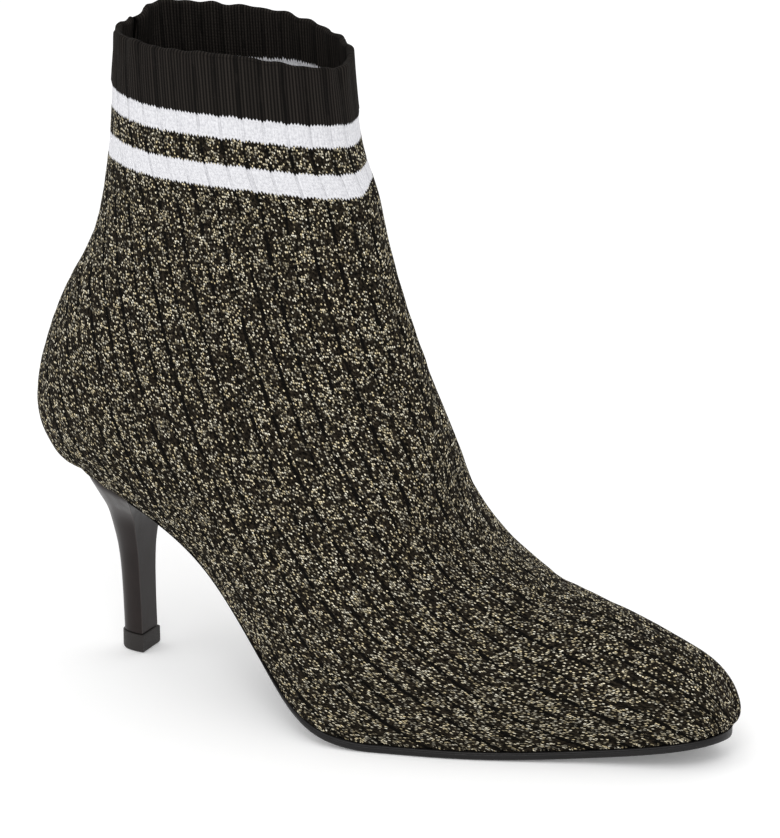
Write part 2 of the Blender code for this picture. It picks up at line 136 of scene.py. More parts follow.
# Edge of the outsole from its top to its underside: inwards in metres, share of the thickness
EDGE = (
    (0.0010, 0.00),
    (0.0004, 0.03),
    (0.0001, 0.10),
    (0.0000, 0.18),
    (0.0002, 0.24),
    (0.0002, 0.28),
    (0.0000, 0.36),
    (0.0000, 0.62),
    (0.0001, 0.80),
    (0.0004, 0.94),
    (0.0010, 1.00),
)
WAIST_LEAN = 0.0028       # how far the sole's edge leans inwards at the waist
LEAN_FADE = (0.30 * LENGTH, 0.52 * LENGTH)
THICKENING = (0.36 * LENGTH, 0.56 * LENGTH)

# Edge of the top piece from the floor up: height, and how far it stands out past its margin
TIP_EDGE = (
    (0.0000, -0.0007),
    (0.0002, -0.0002),
    (0.0007, 0.0000),
    (TIP_HEIGHT - 0.0003, 0.0000),
    (TIP_HEIGHT, -0.0003),
)

# Fineness of the meshes
KNIT_STEP = 0.00115       # largest distance between two stations of the knit
HALF_COLUMNS = 138
PROFILE_STEPS = 260
SEARCH_STEPS = 1600
TRACK_STEP = 0.002        # distance between the lines that follow the ribs
TRACK_REACH = 0.190
RIM_STEPS = 8
LINING_STRIDE = 3         # stations and columns of the knit to one of the lining
LINING_END = 12           # stations that the lining stops before the toe
HEEL_POINTS = 72
HEEL_LEVELS = 70
LEVEL_CROWDING = 1.4
SEAT_SECTIONS = 200
SOLE_STATIONS = 240
SOLE_COLUMNS = 16
WELD = 1e-6
FLAT_NORMAL = 1e-12
SHARP_ANGLE = math.radians(40)

# The heel's rounded edges, and the painted highlight along its breast corners
CORNER_WIDTH = 0.0005
CORNER_SHINE = 0.6
HEEL_BEVEL = 0.00035
BEVEL_STEPS = 3
BEVEL_ANGLE = math.radians(50)

# The ribs of the knit
RIB_PITCH = 0.0072
CROWN = 0.00018           # how far the middle of a rib stands proud
GROOVE_WIDTH = 0.0007
GROOVE_DEPTH = 0.00060
CUFF_GROOVE = 0.00022
GROOVE_CHANGE = 0.18      # share by which the grooves vary in strength
GROOVE_WEAR = 0.12
WEAR_LENGTH = 0.0023
WEAR_TURN = 1.9

# The hollows where ribs cross
CABLE_PERIOD = 0.0112
CABLE_DEPTH = 0.00022
CABLE_LENGTH = 0.0026
CABLE_WIDTH = 0.0011
CABLE_CHANGE = 0.35
CABLE_TURN = 2.3
CHANGE_LENGTH = 0.019
CABLE_SHADE = 0.6

# Where cuff, stripes and body begin, measured along a rib from the rim of the cuff
STRIPE_ONE = 0.0210
BAND = 0.0283
STRIPE_TWO = 0.0372
BODY = 0.0452
BODY_RISE = (BODY - 0.001, BODY + 0.004)
BODY_SPLIT = BODY + 0.003
STEP_EDGE = (STRIPE_ONE - 0.0008, STRIPE_ONE + 0.0004)
INNER_STRIPE = 0.0162
INNER_STRIPE_WIDTH = 0.0078
INNER_DEPTH = 0.060       # how far down the cuff's own inner side goes
CUFF_END = 0.020
INNER_THINNING = (0.012, CUFF_END)

# How far the rim and the stripes' edges bow upwards, from the back (0) to the front (1)
Bow = namedtuple("Bow", "share rim_out rim_in stripe stripe_inside")
BOWS = (
    Bow(0.00, -0.0020, -0.0020, 0.0000, 0.0000),
    Bow(0.06, -0.0026, 0.0002, 0.0000, 0.0000),
    Bow(0.14, -0.0026, 0.0012, 0.0002, 0.0000),
    Bow(0.28, -0.0009, 0.0012, 0.0004, 0.0002),
    Bow(0.40, -0.0002, 0.0018, 0.0011, 0.0012),
    Bow(0.54, 0.0018, 0.0025, 0.0026, 0.0036),
    Bow(0.68, 0.0026, 0.0018, 0.0036, 0.0048),
    Bow(0.82, 0.0011, 0.0012, 0.0029, 0.0052),
    Bow(0.92, -0.0003, 0.0003, 0.0020, 0.0045),
    Bow(1.00, -0.0009, -0.0009, 0.0010, 0.0040),
)

# The lower stripe's rise where it turns round the front: height, and where it starts and ends
FLARE = 0.0052
FLARE_START = (-0.007, 0.005)
FLARE_END = (0.012, 0.030)
FLARE_ROWS = (0.030, 0.045)

# Waves of the rim: length, height and phase, and how far they reach down, up and sideways
Wave = namedtuple("Wave", "length height phase")
RIM_WAVES = (
    Wave(0.0087, 0.6, math.pi / 2),
    Wave(0.0131, 0.5, 1.0),
)
WAVE_DEPTH = 0.009
WAVE_RISE = 0.00035
WAVE_SWAY = 0.000385

# Folds at the back of the rim: distance from the back, width, and how far they stand out
RIM_FOLDS = (
    (0.0045, 0.0045, -0.0026),
    (0.0160, 0.0050, 0.00104),
)

# The crease across the vamp. Its folds have their place and width in crease widths, and their
# height in crease depths.
CREASE_PLACE = 0.1912
CREASE_MIDDLE = 0.006
CREASE_LEAN = 0.30
CREASE_WIDTH = 0.0034
CREASE_DEPTH = 0.0011
CREASE_FADE = (0.0108, 0.036)
Fold = namedtuple("Fold", "place width height")
CREASE_FOLDS = (
    Fold(0.0, 1.0, -1.00),
    Fold(2.6, 1.8, 0.40),
    Fold(-6.0, 2.0, -0.35),
)

# Stitches and flecks
WALE = 0.00107            # width of one stitch column
COURSE = 0.0005           # half the height of one stitch row
STITCH_EDGE = 0.00025     # softness of a stripe's edge
TOOTH_SLOPE = 1.5
TOOTH_LUCK = 0.00045
TOOTH_DIP = 0.0005        # how far a stripe's edge dips in a groove
FLECK_WIDTH = 0.00060
FLECK_LENGTH = 0.00086
GROOVE_SHADE = (0.00012, 0.00105)
GROOVE_SWAY = 0.0010
PATTERN_OFFSET = 1.0      # keeps a pattern's coordinate positive

# Colours as linear red, green, blue and alpha
GROUND_DARK = (0.0020, 0.0016, 0.0012, 1.0)
GROUND_LIGHT = (0.0260, 0.0205, 0.0140, 1.0)
# painted shade in the grooves and hollows of the knit
GROUND_GROOVE_SHADE = (0.0030, 0.0028, 0.0026, 1.0)
# the metallic thread's own pale and gold colours, painted bright to stand in for its glints
THREAD_PALE_GLINT = (1.00, 0.96, 0.80, 1.0)
THREAD_GOLD_GLINT = (0.86, 0.72, 0.42, 1.0)
CUFF_DARK = (0.0040, 0.0035, 0.0032, 1.0)
CUFF_LIGHT = (0.0260, 0.0220, 0.0190, 1.0)
# painted shade in the grooves of the cuff
CUFF_SHADE = (0.0040, 0.0036, 0.0033, 1.0)
CLOTH_DARK = (0.60, 0.60, 0.63, 1.0)
CLOTH_LIGHT = (0.76, 0.76, 0.785, 1.0)
# painted shade in the grooves of the white stripes
CLOTH_GROOVE_SHADE = (0.42, 0.42, 0.45, 1.0)
LINING_DARK = (0.012, 0.011, 0.010, 1.0)
LINING_LIGHT = (0.028, 0.025, 0.023, 1.0)
LEATHER_DARK = (0.0070, 0.0045, 0.0040, 1.0)
LEATHER_LIGHT = (0.0180, 0.0115, 0.0105, 1.0)
# painted highlight along the heel's breast corners
LEATHER_CORNER_HIGHLIGHT = (0.085, 0.075, 0.070, 1.0)
TIP_DARK = (0.014, 0.012, 0.011, 1.0)
TIP_LIGHT = (0.028, 0.024, 0.022, 1.0)
SOLE_DARK = (0.0050, 0.0045, 0.0045, 1.0)
SOLE_LIGHT = (0.0120, 0.0110, 0.0110, 1.0)
FLOOR = (0.90, 0.90, 0.90, 1.0)
WHITE = (1.0, 1.0, 1.0, 1.0)

# Camera at the photograph's angle
AZIMUTH = math.radians(26)
ELEVATION = math.radians(18.5)
DISTANCE = 1.2
TARGET = Vector((0.1298 - TIP_SETBACK, 0.0, 0.09636))
IMAGE_SIZE = (780, 838)
PIXELS_PER_METRE = 3070
SENSOR = 36.0
NEAREST = 0.05

# Studio: soft round lights over a white floor
Lamp = namedtuple("Lamp", "name place aim size power")
LAMPS = (
    Lamp("key", (0.35, -0.75, 0.95), (0.07, 0, 0.08), 0.5, 2.6),
    Lamp("fill", (-0.7, -0.6, 0.5), (0.05, 0, 0.08), 0.8, 0.8),
)
FLOOR_SIZE = 12
FLOOR_DROP = 0.0001
FLOOR_GLOW = 0.16


def spline(knots, values, at):
    """Natural cubic spline through (knots, values), read at the places `at`."""
    knots = np.asarray(knots, float)
    values = np.asarray(values, float)
    count = len(knots)
    step = np.diff(knots)
    matrix = np.eye(count)
    right = np.zeros(count)
    for i in range(1, count - 1):
        matrix[i, i - 1:i + 2] = step[i - 1], 2 * (step[i - 1] + step[i]), step[i]
        slope = (values[i + 1] - values[i]) / step[i] - (values[i] - values[i - 1]) / step[i - 1]
        right[i] = 6 * slope
    bend = np.linalg.solve(matrix, right)
    i = np.clip(np.searchsorted(knots, at, side="right") - 1, 0, count - 2)
    width = step[i]
    a = (knots[i + 1] - at) / width
    b = (at - knots[i]) / width
    line = a * values[i] + b * values[i + 1]
    return line + ((a ** 3 - a) * bend[i] + (b ** 3 - b) * bend[i + 1]) * width ** 2 / 6


def smooth_ramp(value, start, end):
    """0 before start, 1 after end, and a smooth rise between them."""
    t = np.clip((value - start) / (end - start), 0, 1)
    return t * t * (3 - 2 * t)


def tread_height(x, y):
    """Height of the sole's underside at x from the back and y."""
    x = np.asarray(x, float)
    y = np.asarray(y, float)
    tread = TREAD_START * LENGTH
    slanted = x - BALL_SKEW * y * smooth_ramp(x, BREAST_X * LENGTH, tread)
    rows = np.array(SOLE_ROWS)
    knots = np.concatenate([rows[:, 0], 2 * TREAD_START - rows[-2::-1, 0]])
    heights = np.concatenate([rows[:, 1], rows[-2::-1, 1]])
    share = np.clip(slanted / LENGTH, rows[0, 0], TREAD_START)
    arch = spline(knots, heights * HEEL_RISE, share)
    past = np.clip((slanted / LENGTH - TREAD_END) / (1 - TREAD_END), 0, None)
    return np.maximum(arch, 0) * (slanted < tread) + TOE_SPRING * past ** 2


def sole_top(x, y):
    """Top of the outsole and of the heel's seat."""
    forward = smooth_ramp(np.asarray(x, float), *THICKENING)
    return tread_height(x, y) + WAIST_THICKNESS + (SOLE_THICKNESS - WAIST_THICKNESS) * forward


FOOT_LAST = len(FOOT) - 1
ROW_LAST = FOOT_LAST + len(SHAFT)
ROWS = np.arange(ROW_LAST + 1)


def foot_column(name, size):
    """Column of the foot's table in metres."""
    return [getattr(row, name) * size for row in FOOT]


def shaft_column(name, size):
    """Column of the shaft's table in metres."""
    return [getattr(row, name) * size for row in SHAFT]


def section_values():
    """Each value of the sections, one number for each row from the toe to the collar."""
    x_base = foot_column("x_base", LENGTH) + shaft_column("x_back", LENGTH)
    x_crest = foot_column("x_crest", LENGTH) + shaft_column("x_front", LENGTH)
    y_base = foot_column("y_base", BALL_WIDTH) + [0.0] * len(SHAFT)
    y_crest = foot_column("y_crest", BALL_WIDTH) + [0.0] * len(SHAFT)
    side = foot_column("side", BALL_WIDTH) + shaft_column("side", ANKLE_WIDTH)
    level = foot_column("level", 1.0) + shaft_column("level", 1.0)
    bow = foot_column("bow", INSTEP_RISE) + [0.0] * len(SHAFT)
    feather_z = [float(sole_top(row.x_base * LENGTH, row.y_base * BALL_WIDTH)) + GAP
                 for row in FOOT]
    seat = feather_z[-1]
    z_crest = [z + row.rise * INSTEP_RISE for z, row in zip(feather_z, FOOT)]
    z_crest += [seat + row.z_front * SHAFT_RISE for row in SHAFT]
    z_back = [seat] + [seat + row.z_back * SHAFT_RISE for row in SHAFT]
    return dict(x_base=x_base, x_crest=x_crest, y_base=y_base, y_crest=y_crest, side=side,
                level=level, bow=bow, z_crest=z_crest, z_back=z_back,
                feather=foot_column("feather", BALL_WIDTH))


VALUES = section_values()


def along_sole(name, sign):
    """Knots and values of a column of the feather edge, mirrored beyond toe and heel."""
    values = VALUES[name][:FOOT_LAST + 1]
    return np.arange(-1, FOOT_LAST + 2), [sign * values[1]] + values + [sign * values[-2]]


def along_boot(name, sign):
    """Knots and values of a column that runs from the toe to the collar."""
    return np.concatenate([[-1], ROWS]), [sign * VALUES[name][1]] + VALUES[name]


def section_at(s):
    """All the section's values at row number s, which may lie between two rows."""
    out = {}
    for name in ("x_crest", "y_crest", "level", "bow", "z_crest"):
        out[name] = float(spline(*along_boot(name, 1), s))
    out["side"] = max(float(spline(*along_boot("side", -1), s)), 0.0)
    out["y_base"] = out["feather"] = 0.0
    if s <= FOOT_LAST:
        out["x_base"] = float(spline(*along_sole("x_base", 1), s))
        out["y_base"] = float(spline(*along_sole("y_base", 1), s))
        out["z_base"] = float(sole_top(out["x_base"], out["y_base"])) + GAP
        feather = max(float(spline(*along_sole("feather", -1), s)), 0.0)
        out["feather"] = min(feather, out["side"])
    else:
        back = np.arange(FOOT_LAST, ROW_LAST + 1)
        out["x_base"] = float(spline(back, VALUES["x_base"][FOOT_LAST:], s))
        out["z_base"] = float(spline(back, VALUES["z_back"], s))
    if s <= 0:
        out["feather"] = out["side"] = 0.0
    if s >= FOOT_LAST:
        out["feather"] = 0.0
    return out


def half_profile(feather, side, level):
    """Half a section from feather edge to crest: (half width, share of the height)."""
    t = np.linspace(0, math.pi / 2, PROFILE_STEPS)
    closed = 1 - feather / side if side > 0 else 1.0
    low_y = feather + (side - feather) * np.sin(t) ** (2 / LOWER_POWER)
    drop = 1 - np.cos(t) ** (2 / LOWER_POWER)
    low_h = level * (closed * drop + (1 - closed) * t / (math.pi / 2))
    high_y = side * np.cos(t) ** (2 / UPPER_POWER)
    high_h = level + (1 - level) * np.sin(t) ** (2 / UPPER_POWER)
    return np.concatenate([low_y, high_y[1:]]), np.concatenate([low_h, high_h[1:]])


def half_section(v, s, sign):
    """Fine polyline of one half of a section from the feather edge to the crest, and its run."""
    half_y, h = half_profile(v["feather"], v["side"], v["level"])
    y = v["y_base"] + (v["y_crest"] - v["y_base"]) * h + sign * half_y
    x = v["x_base"] + (v["x_crest"] - v["x_base"]) * h + 4 * v["bow"] * h * (1 - h)
    z = v["z_base"] + (v["z_crest"] - v["z_base"]) * h
    if s <= FOOT_LAST:
        slant = sole_top(np.full_like(y, v["x_base"]), y) + GAP - v["z_base"]
        z = z + slant * (1 - h)
    points = np.stack([x - TIP_SETBACK, y, z], axis=1)
    leg = np.linalg.norm(np.diff(points, axis=0), axis=1)
    return points, np.concatenate([[0], np.cumsum(leg)])


def read_line(points, run, at):
    """Points of a polyline at distances `at` from its start."""
    return np.stack([np.interp(at, run, points[:, k]) for k in range(3)], axis=1)


def stations():
    """Row numbers from the toe to the collar, spaced by the widest step between two sections."""
    dense = np.linspace(0, ROW_LAST, SEARCH_STEPS)
    lines = []
    for s in dense:
        v = section_at(s)
        points, run = half_section(v, s, -1)
        lines.append(read_line(points, run, run[-1] * np.array([0, 0.3, 0.6, 1])))
    step = np.linalg.norm(np.diff(np.array(lines), axis=0), axis=2).max(axis=1)
    run = np.concatenate([[0], np.cumsum(step)])
    count = int(math.ceil(run[-1] / KNIT_STEP)) + 1
    return np.interp(np.linspace(0, run[-1], count), run, dense)


def knit_grid():
    """Grid of the upper's outside: points, distance from the crest and distance from the rim."""
    rows = stations()
    share = np.linspace(0, 1, HALF_COLUMNS + 1)
    tracks = np.arange(0, TRACK_REACH, TRACK_STEP)
    points = []
    across = []
    along = []
    last = {-1: None, 1: None}
    trail = {-1: np.zeros(len(tracks)), 1: np.zeros(len(tracks))}
    for s in rows[::-1]:
        v = section_at(s)
        row_points = []
        row_across = []
        row_along = []
        for sign in (-1, 1):
            line, run = half_section(v, s, sign)
            reach = run[-1]
            track = read_line(line, run, np.clip(reach - tracks, 0, None))
            live = tracks <= reach
            if last[sign] is not None:
                before, was_live = last[sign]
                trail[sign] += np.linalg.norm(track - before, axis=1) * (live & was_live)
                for j in np.nonzero(live & ~was_live)[0]:
                    trail[sign][j] = trail[sign][j - 1]
            last[sign] = (track, live)
            at = reach * share
            q = reach - at
            far = np.interp(q, tracks[live], trail[sign][live])
            half = read_line(line, run, at)
            if sign > 0:
                half, q, far = half[::-1][1:], q[::-1][1:], far[::-1][1:]
            row_points.append(half)
            row_across.append(sign * q)
            row_along.append(far)
        points.append(np.vstack(row_points))
        across.append(np.concatenate(row_across))
        along.append(np.concatenate(row_along))
    return np.array(points), np.array(across), np.array(along)


def grid_normals(points):
    """Unit normals of a grid that point away from the boot's middle."""
    down = np.gradient(points, axis=0)
    over = np.gradient(points, axis=1)
    normal = np.cross(over, down)
    length = np.linalg.norm(normal, axis=2, keepdims=True)
    normal = normal / np.maximum(length, FLAT_NORMAL)
    normal[-1] = (1, 0, 0)
    for i in range(len(normal) - 2, -1, -1):
        weak = length[i, :, 0] < FLAT_NORMAL
        normal[i][weak] = normal[i + 1][weak]
    middle = points.mean(axis=1, keepdims=True)
    facing = np.sum((points - middle) * normal, axis=2).mean()
    return normal if facing > 0 else -normal


def ridge(distance, width):
    """Soft line profile: 1 on the line and 0 a few widths away."""
    return np.exp(-(distance / width) ** 2)


def knit_relief(across, along, pattern):
    """Height of the knit over its smooth form, and each point's share in a crossing's hollow."""
    place = np.abs(across) / RIB_PITCH
    index = np.round(place)
    within = place - index
    line = index - (within < 0)
    strong = 1 - GROOVE_CHANGE + GROOVE_CHANGE * np.cos(math.pi * line)
    worn = 1 - GROOVE_WEAR + GROOVE_WEAR * np.sin(along / WEAR_LENGTH + WEAR_TURN * line)
    groove = ridge((0.5 - np.abs(within)) * RIB_PITCH, GROOVE_WIDTH) * strong * worn
    body = smooth_ramp(pattern, *BODY_RISE)
    turn = along / CABLE_PERIOD + 0.5 * (index % 2)
    cable = ridge((turn - np.round(turn)) * CABLE_PERIOD, CABLE_LENGTH)
    cable = cable * ridge(within * RIB_PITCH, CABLE_WIDTH) * body
    change = np.sin(CABLE_TURN * index + along / CHANGE_LENGTH)
    cable = cable * (1 - CABLE_CHANGE + CABLE_CHANGE * change)
    depth = CUFF_GROOVE + (GROOVE_DEPTH - CUFF_GROOVE) * body
    crown = CROWN * np.cos(math.pi * within) ** 2
    relief = crown - depth * groove - CABLE_DEPTH * cable * (1 - groove)
    step = CUFF_STEP * (1 - smooth_ramp(pattern, *STEP_EDGE))
    return relief + step, CABLE_SHADE * cable


def crease(across, along):
    """Soft trough across the vamp where the foot bends, with a swell and a dip beside it."""
    side = np.abs(across)
    offset = along - CREASE_PLACE - CREASE_LEAN * np.clip(side - CREASE_MIDDLE, 0, None)
    folds = 0
    for fold in CREASE_FOLDS:
        away = offset - fold.place * CREASE_WIDTH
        folds = folds + fold.height * ridge(away, fold.width * CREASE_WIDTH)
    return CREASE_DEPTH * folds * (1 - smooth_ramp(side, *CREASE_FADE))


def bows(name, share):
    """Column of the bow table read at each share of the way from the back to the front."""
    return spline([row.share for row in BOWS], [getattr(row, name) for row in BOWS], share)


def share_from_back(across):
    """How far each point of a row lies on the way from the boot's back (0) to its front (1)."""
    return 1 - np.abs(across) / np.abs(across).max(axis=1, keepdims=True)


def pattern_rows(across, along):
    """Distance below the rim that the stripes follow, with their bow and the front's flare."""
    turn = smooth_ramp(across, *FLARE_START) * (1 - smooth_ramp(across, *FLARE_END))
    rise = bows("stripe", share_from_back(across)) + FLARE * turn * smooth_ramp(along, *FLARE_ROWS)
    return along + rise


def rim_shift(points, normals, across, along):
    """Bow, waves and folds of the rim, fading out below the cuff."""
    share = share_from_back(across)
    rise = np.where(across < 0, bows("rim_out", share), bows("rim_in", share)) - UPPER_WALL / 2
    wave = 0
    for row in RIM_WAVES:
        wave = wave + row.height * np.sin(2 * math.pi * across / row.length + row.phase)
    wave = wave * (1 - smooth_ramp(along, 0.0, WAVE_DEPTH))
    fade = 1 - smooth_ramp(along, 0.0, CUFF_END)
    from_back = np.abs(across).max(axis=1, keepdims=True) - across
    folds = 0
    for offset, width, height in RIM_FOLDS:
        folds = folds + height * ridge(from_back - offset, width) * (across > 0)
    shift = np.zeros_like(points)
    shift[..., 2] = rise * fade + WAVE_RISE * wave
    return shift + normals * (WAVE_SWAY * wave + folds * fade)[..., None]


def add_piece(name, data, material):
    """Object of a finished mesh, smoothly shaded and with its material."""
    data.materials.append(material)
    data.shade_smooth()
    piece = bpy.data.objects.new(name, data)
    bpy.context.scene.collection.objects.link(piece)
    return piece


def sheet(name, points, across, along, hollow, material):
    """Mesh of a grid of points, with a UV layer of its distances across and along the ribs."""
    count, columns = points.shape[:2]
    index = np.arange(count * columns).reshape(count, columns)
    corners = np.stack([index[:-1, :-1], index[:-1, 1:], index[1:, 1:], index[1:, :-1]], axis=-1)
    corners = corners.reshape(-1, 4)
    data = bpy.data.meshes.new(name)
    data.from_pydata(points.reshape(-1, 3), [], corners.tolist())
    layer = data.uv_layers.new(name="knit")
    uv = np.stack([across.reshape(-1), along.reshape(-1)], axis=1)[corners.reshape(-1)]
    layer.data.foreach_set("uv", uv.astype(np.float32).reshape(-1))
    depth = data.attributes.new("hollow", "FLOAT", "POINT")
    depth.data.foreach_set("value", hollow.astype(np.float32).reshape(-1))
    mesh = bmesh.new()
    mesh.from_mesh(data)
    bmesh.ops.remove_doubles(mesh, verts=mesh.verts, dist=WELD)
    bmesh.ops.dissolve_degenerate(mesh, edges=mesh.edges, dist=WELD / 10)
    mesh.to_mesh(data)
    mesh.free()
    return add_piece(name, data, material)


def place(piece, slot, *nodes):
    """Set a finished piece on the boot's body in place of the CAD nodes it stands for."""
    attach(piece, "root")
    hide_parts(*nodes)


class Nodes:
    """Short calls for building a material's node tree."""

    def __init__(self, name):
        self.material = bpy.data.materials.new(name)
        self.material.use_nodes = True
        self.tree = self.material.node_tree
        self.shader = self.tree.nodes["Principled BSDF"]

    def add(self, kind, settings=None, **inputs):
        """New node with its settings and inputs, an underscore standing for a space."""
        node = self.tree.nodes.new(kind)
        for key, value in (settings or {}).items():
            setattr(node, key, value)
        for key, value in inputs.items():
            self.feed(node.inputs[key.replace("_", " ")], value)
        return node

    def feed(self, socket, value):
        """Link a socket to another node's output, or set its value."""
        if isinstance(value, bpy.types.NodeSocket):
            self.tree.links.new(value, socket)
        else:
            socket.default_value = value

    def math(self, operation, a, b=0.0, c=0.0, clamp=False):
        """Output of one arithmetic step."""
        node = self.tree.nodes.new("ShaderNodeMath")
        node.operation = operation
        node.use_clamp = clamp
        for socket, value in zip(node.inputs, (a, b, c)):
            self.feed(socket, value)
        return node.outputs[0]

    def ramp(self, value, start, end, low=0.0, high=1.0):
        """Smooth passage from low at start to high at end."""
        node = self.tree.nodes.new("ShaderNodeMapRange")
        node.interpolation_type = "SMOOTHSTEP"
        for socket, v in zip(node.inputs, (value, start, end, low, high)):
            self.feed(socket, v)
        return node.outputs[0]

    def mix(self, factor, a, b):
        """Colour between a and b."""
        node = self.tree.nodes.new("ShaderNodeMix")
        node.data_type = "RGBA"
        self.feed(node.inputs["Factor"], factor)
        self.feed(node.inputs["A"], a)
        self.feed(node.inputs["B"], b)
        return node.outputs["Result"]

    def noise(self, vector, scale, detail=2.0, kind="3D"):
        """Noise from 0 to 1."""
        node = self.add("ShaderNodeTexNoise", {"noise_dimensions": kind}, Scale=scale,
                        Detail=detail)
        self.feed(node.inputs["Vector"], vector)
        return node.outputs["Fac"]

    def bump(self, height, distance, strength):
        """Normal of a small relief."""
        node = self.add("ShaderNodeBump", Strength=strength, Distance=distance, Height=height)
        return node.outputs["Normal"]

    def surface(self, **inputs):
        """Finished material with these inputs of its shader."""
        for key, value in inputs.items():
            self.feed(self.shader.inputs[key.replace("_", " ")], value)
        return self.material


def rib_grooves(n, uv, across):
    """Mask of the grooves between the ribs, darkened as painted shade; every second one a little
    weaker.
    """
    sway = n.math("MULTIPLY_ADD", n.noise(uv, 90.0, 2.0, "2D"), GROOVE_SWAY, -GROOVE_SWAY / 2)
    place_in_rib = n.math("ADD", n.math("ADD", n.math("ABSOLUTE", across), RIB_PITCH / 2), sway)
    line = n.math("PINGPONG", place_in_rib, RIB_PITCH / 2)
    weaker = n.math("GREATER_THAN", n.math("PINGPONG", place_in_rib, RIB_PITCH), RIB_PITCH / 2)
    wear = n.ramp(n.noise(uv, 140.0, 2.0, "2D"), 0.3, 0.6, 0.55, 1.0)
    groove = n.math("MULTIPLY", n.ramp(line, *GROOVE_SHADE, 1.0, 0.0), wear)
    return n.math("MULTIPLY", groove, n.math("MULTIPLY_ADD", weaker, -GROOVE_CHANGE, 1.0))


def between(n, value, start, end):
    """1 where a value lies from start to end, with a stitched edge's softness."""
    begun = n.ramp(value, start, start + STITCH_EDGE)
    return n.math("MULTIPLY", begun, n.ramp(value, end, end + STITCH_EDGE, 1.0, 0.0))


def thread_flecks(n, uv, cells, hollow, plain):
    """Flecks of metallic thread with painted glints in the cells of a fine net, and a fleck's own
    random colour.
    """
    net = n.add("ShaderNodeTexVoronoi", {"voronoi_dimensions": "2D"}, Vector=cells, Scale=1.0,
                Randomness=0.85)
    chance = n.add("ShaderNodeSeparateColor", Color=net.outputs["Color"])
    cloud = n.noise(uv, 210.0, 3.0, "2D")
    # fewer flecks in the hollows, as painted shade
    bar = n.math("MULTIPLY_ADD", hollow, 0.45, n.ramp(cloud, 0.36, 0.64, 0.66, 0.40))
    lit = n.math("GREATER_THAN", chance.outputs["Red"], bar)
    spot = n.math("MULTIPLY", n.ramp(net.outputs["Distance"], 0.30, 0.50, 1.0, 0.0), lit)
    # each fleck's random brightness is a painted glint
    shine = n.math("MULTIPLY_ADD", n.math("POWER", chance.outputs["Green"], 1.7), 0.88, 0.12)
    fleck = n.math("MULTIPLY", spot, shine)
    fleck = n.math("MULTIPLY", fleck, n.math("SUBTRACT", 1.0, plain), clamp=True)
    return fleck, chance.outputs["Blue"]


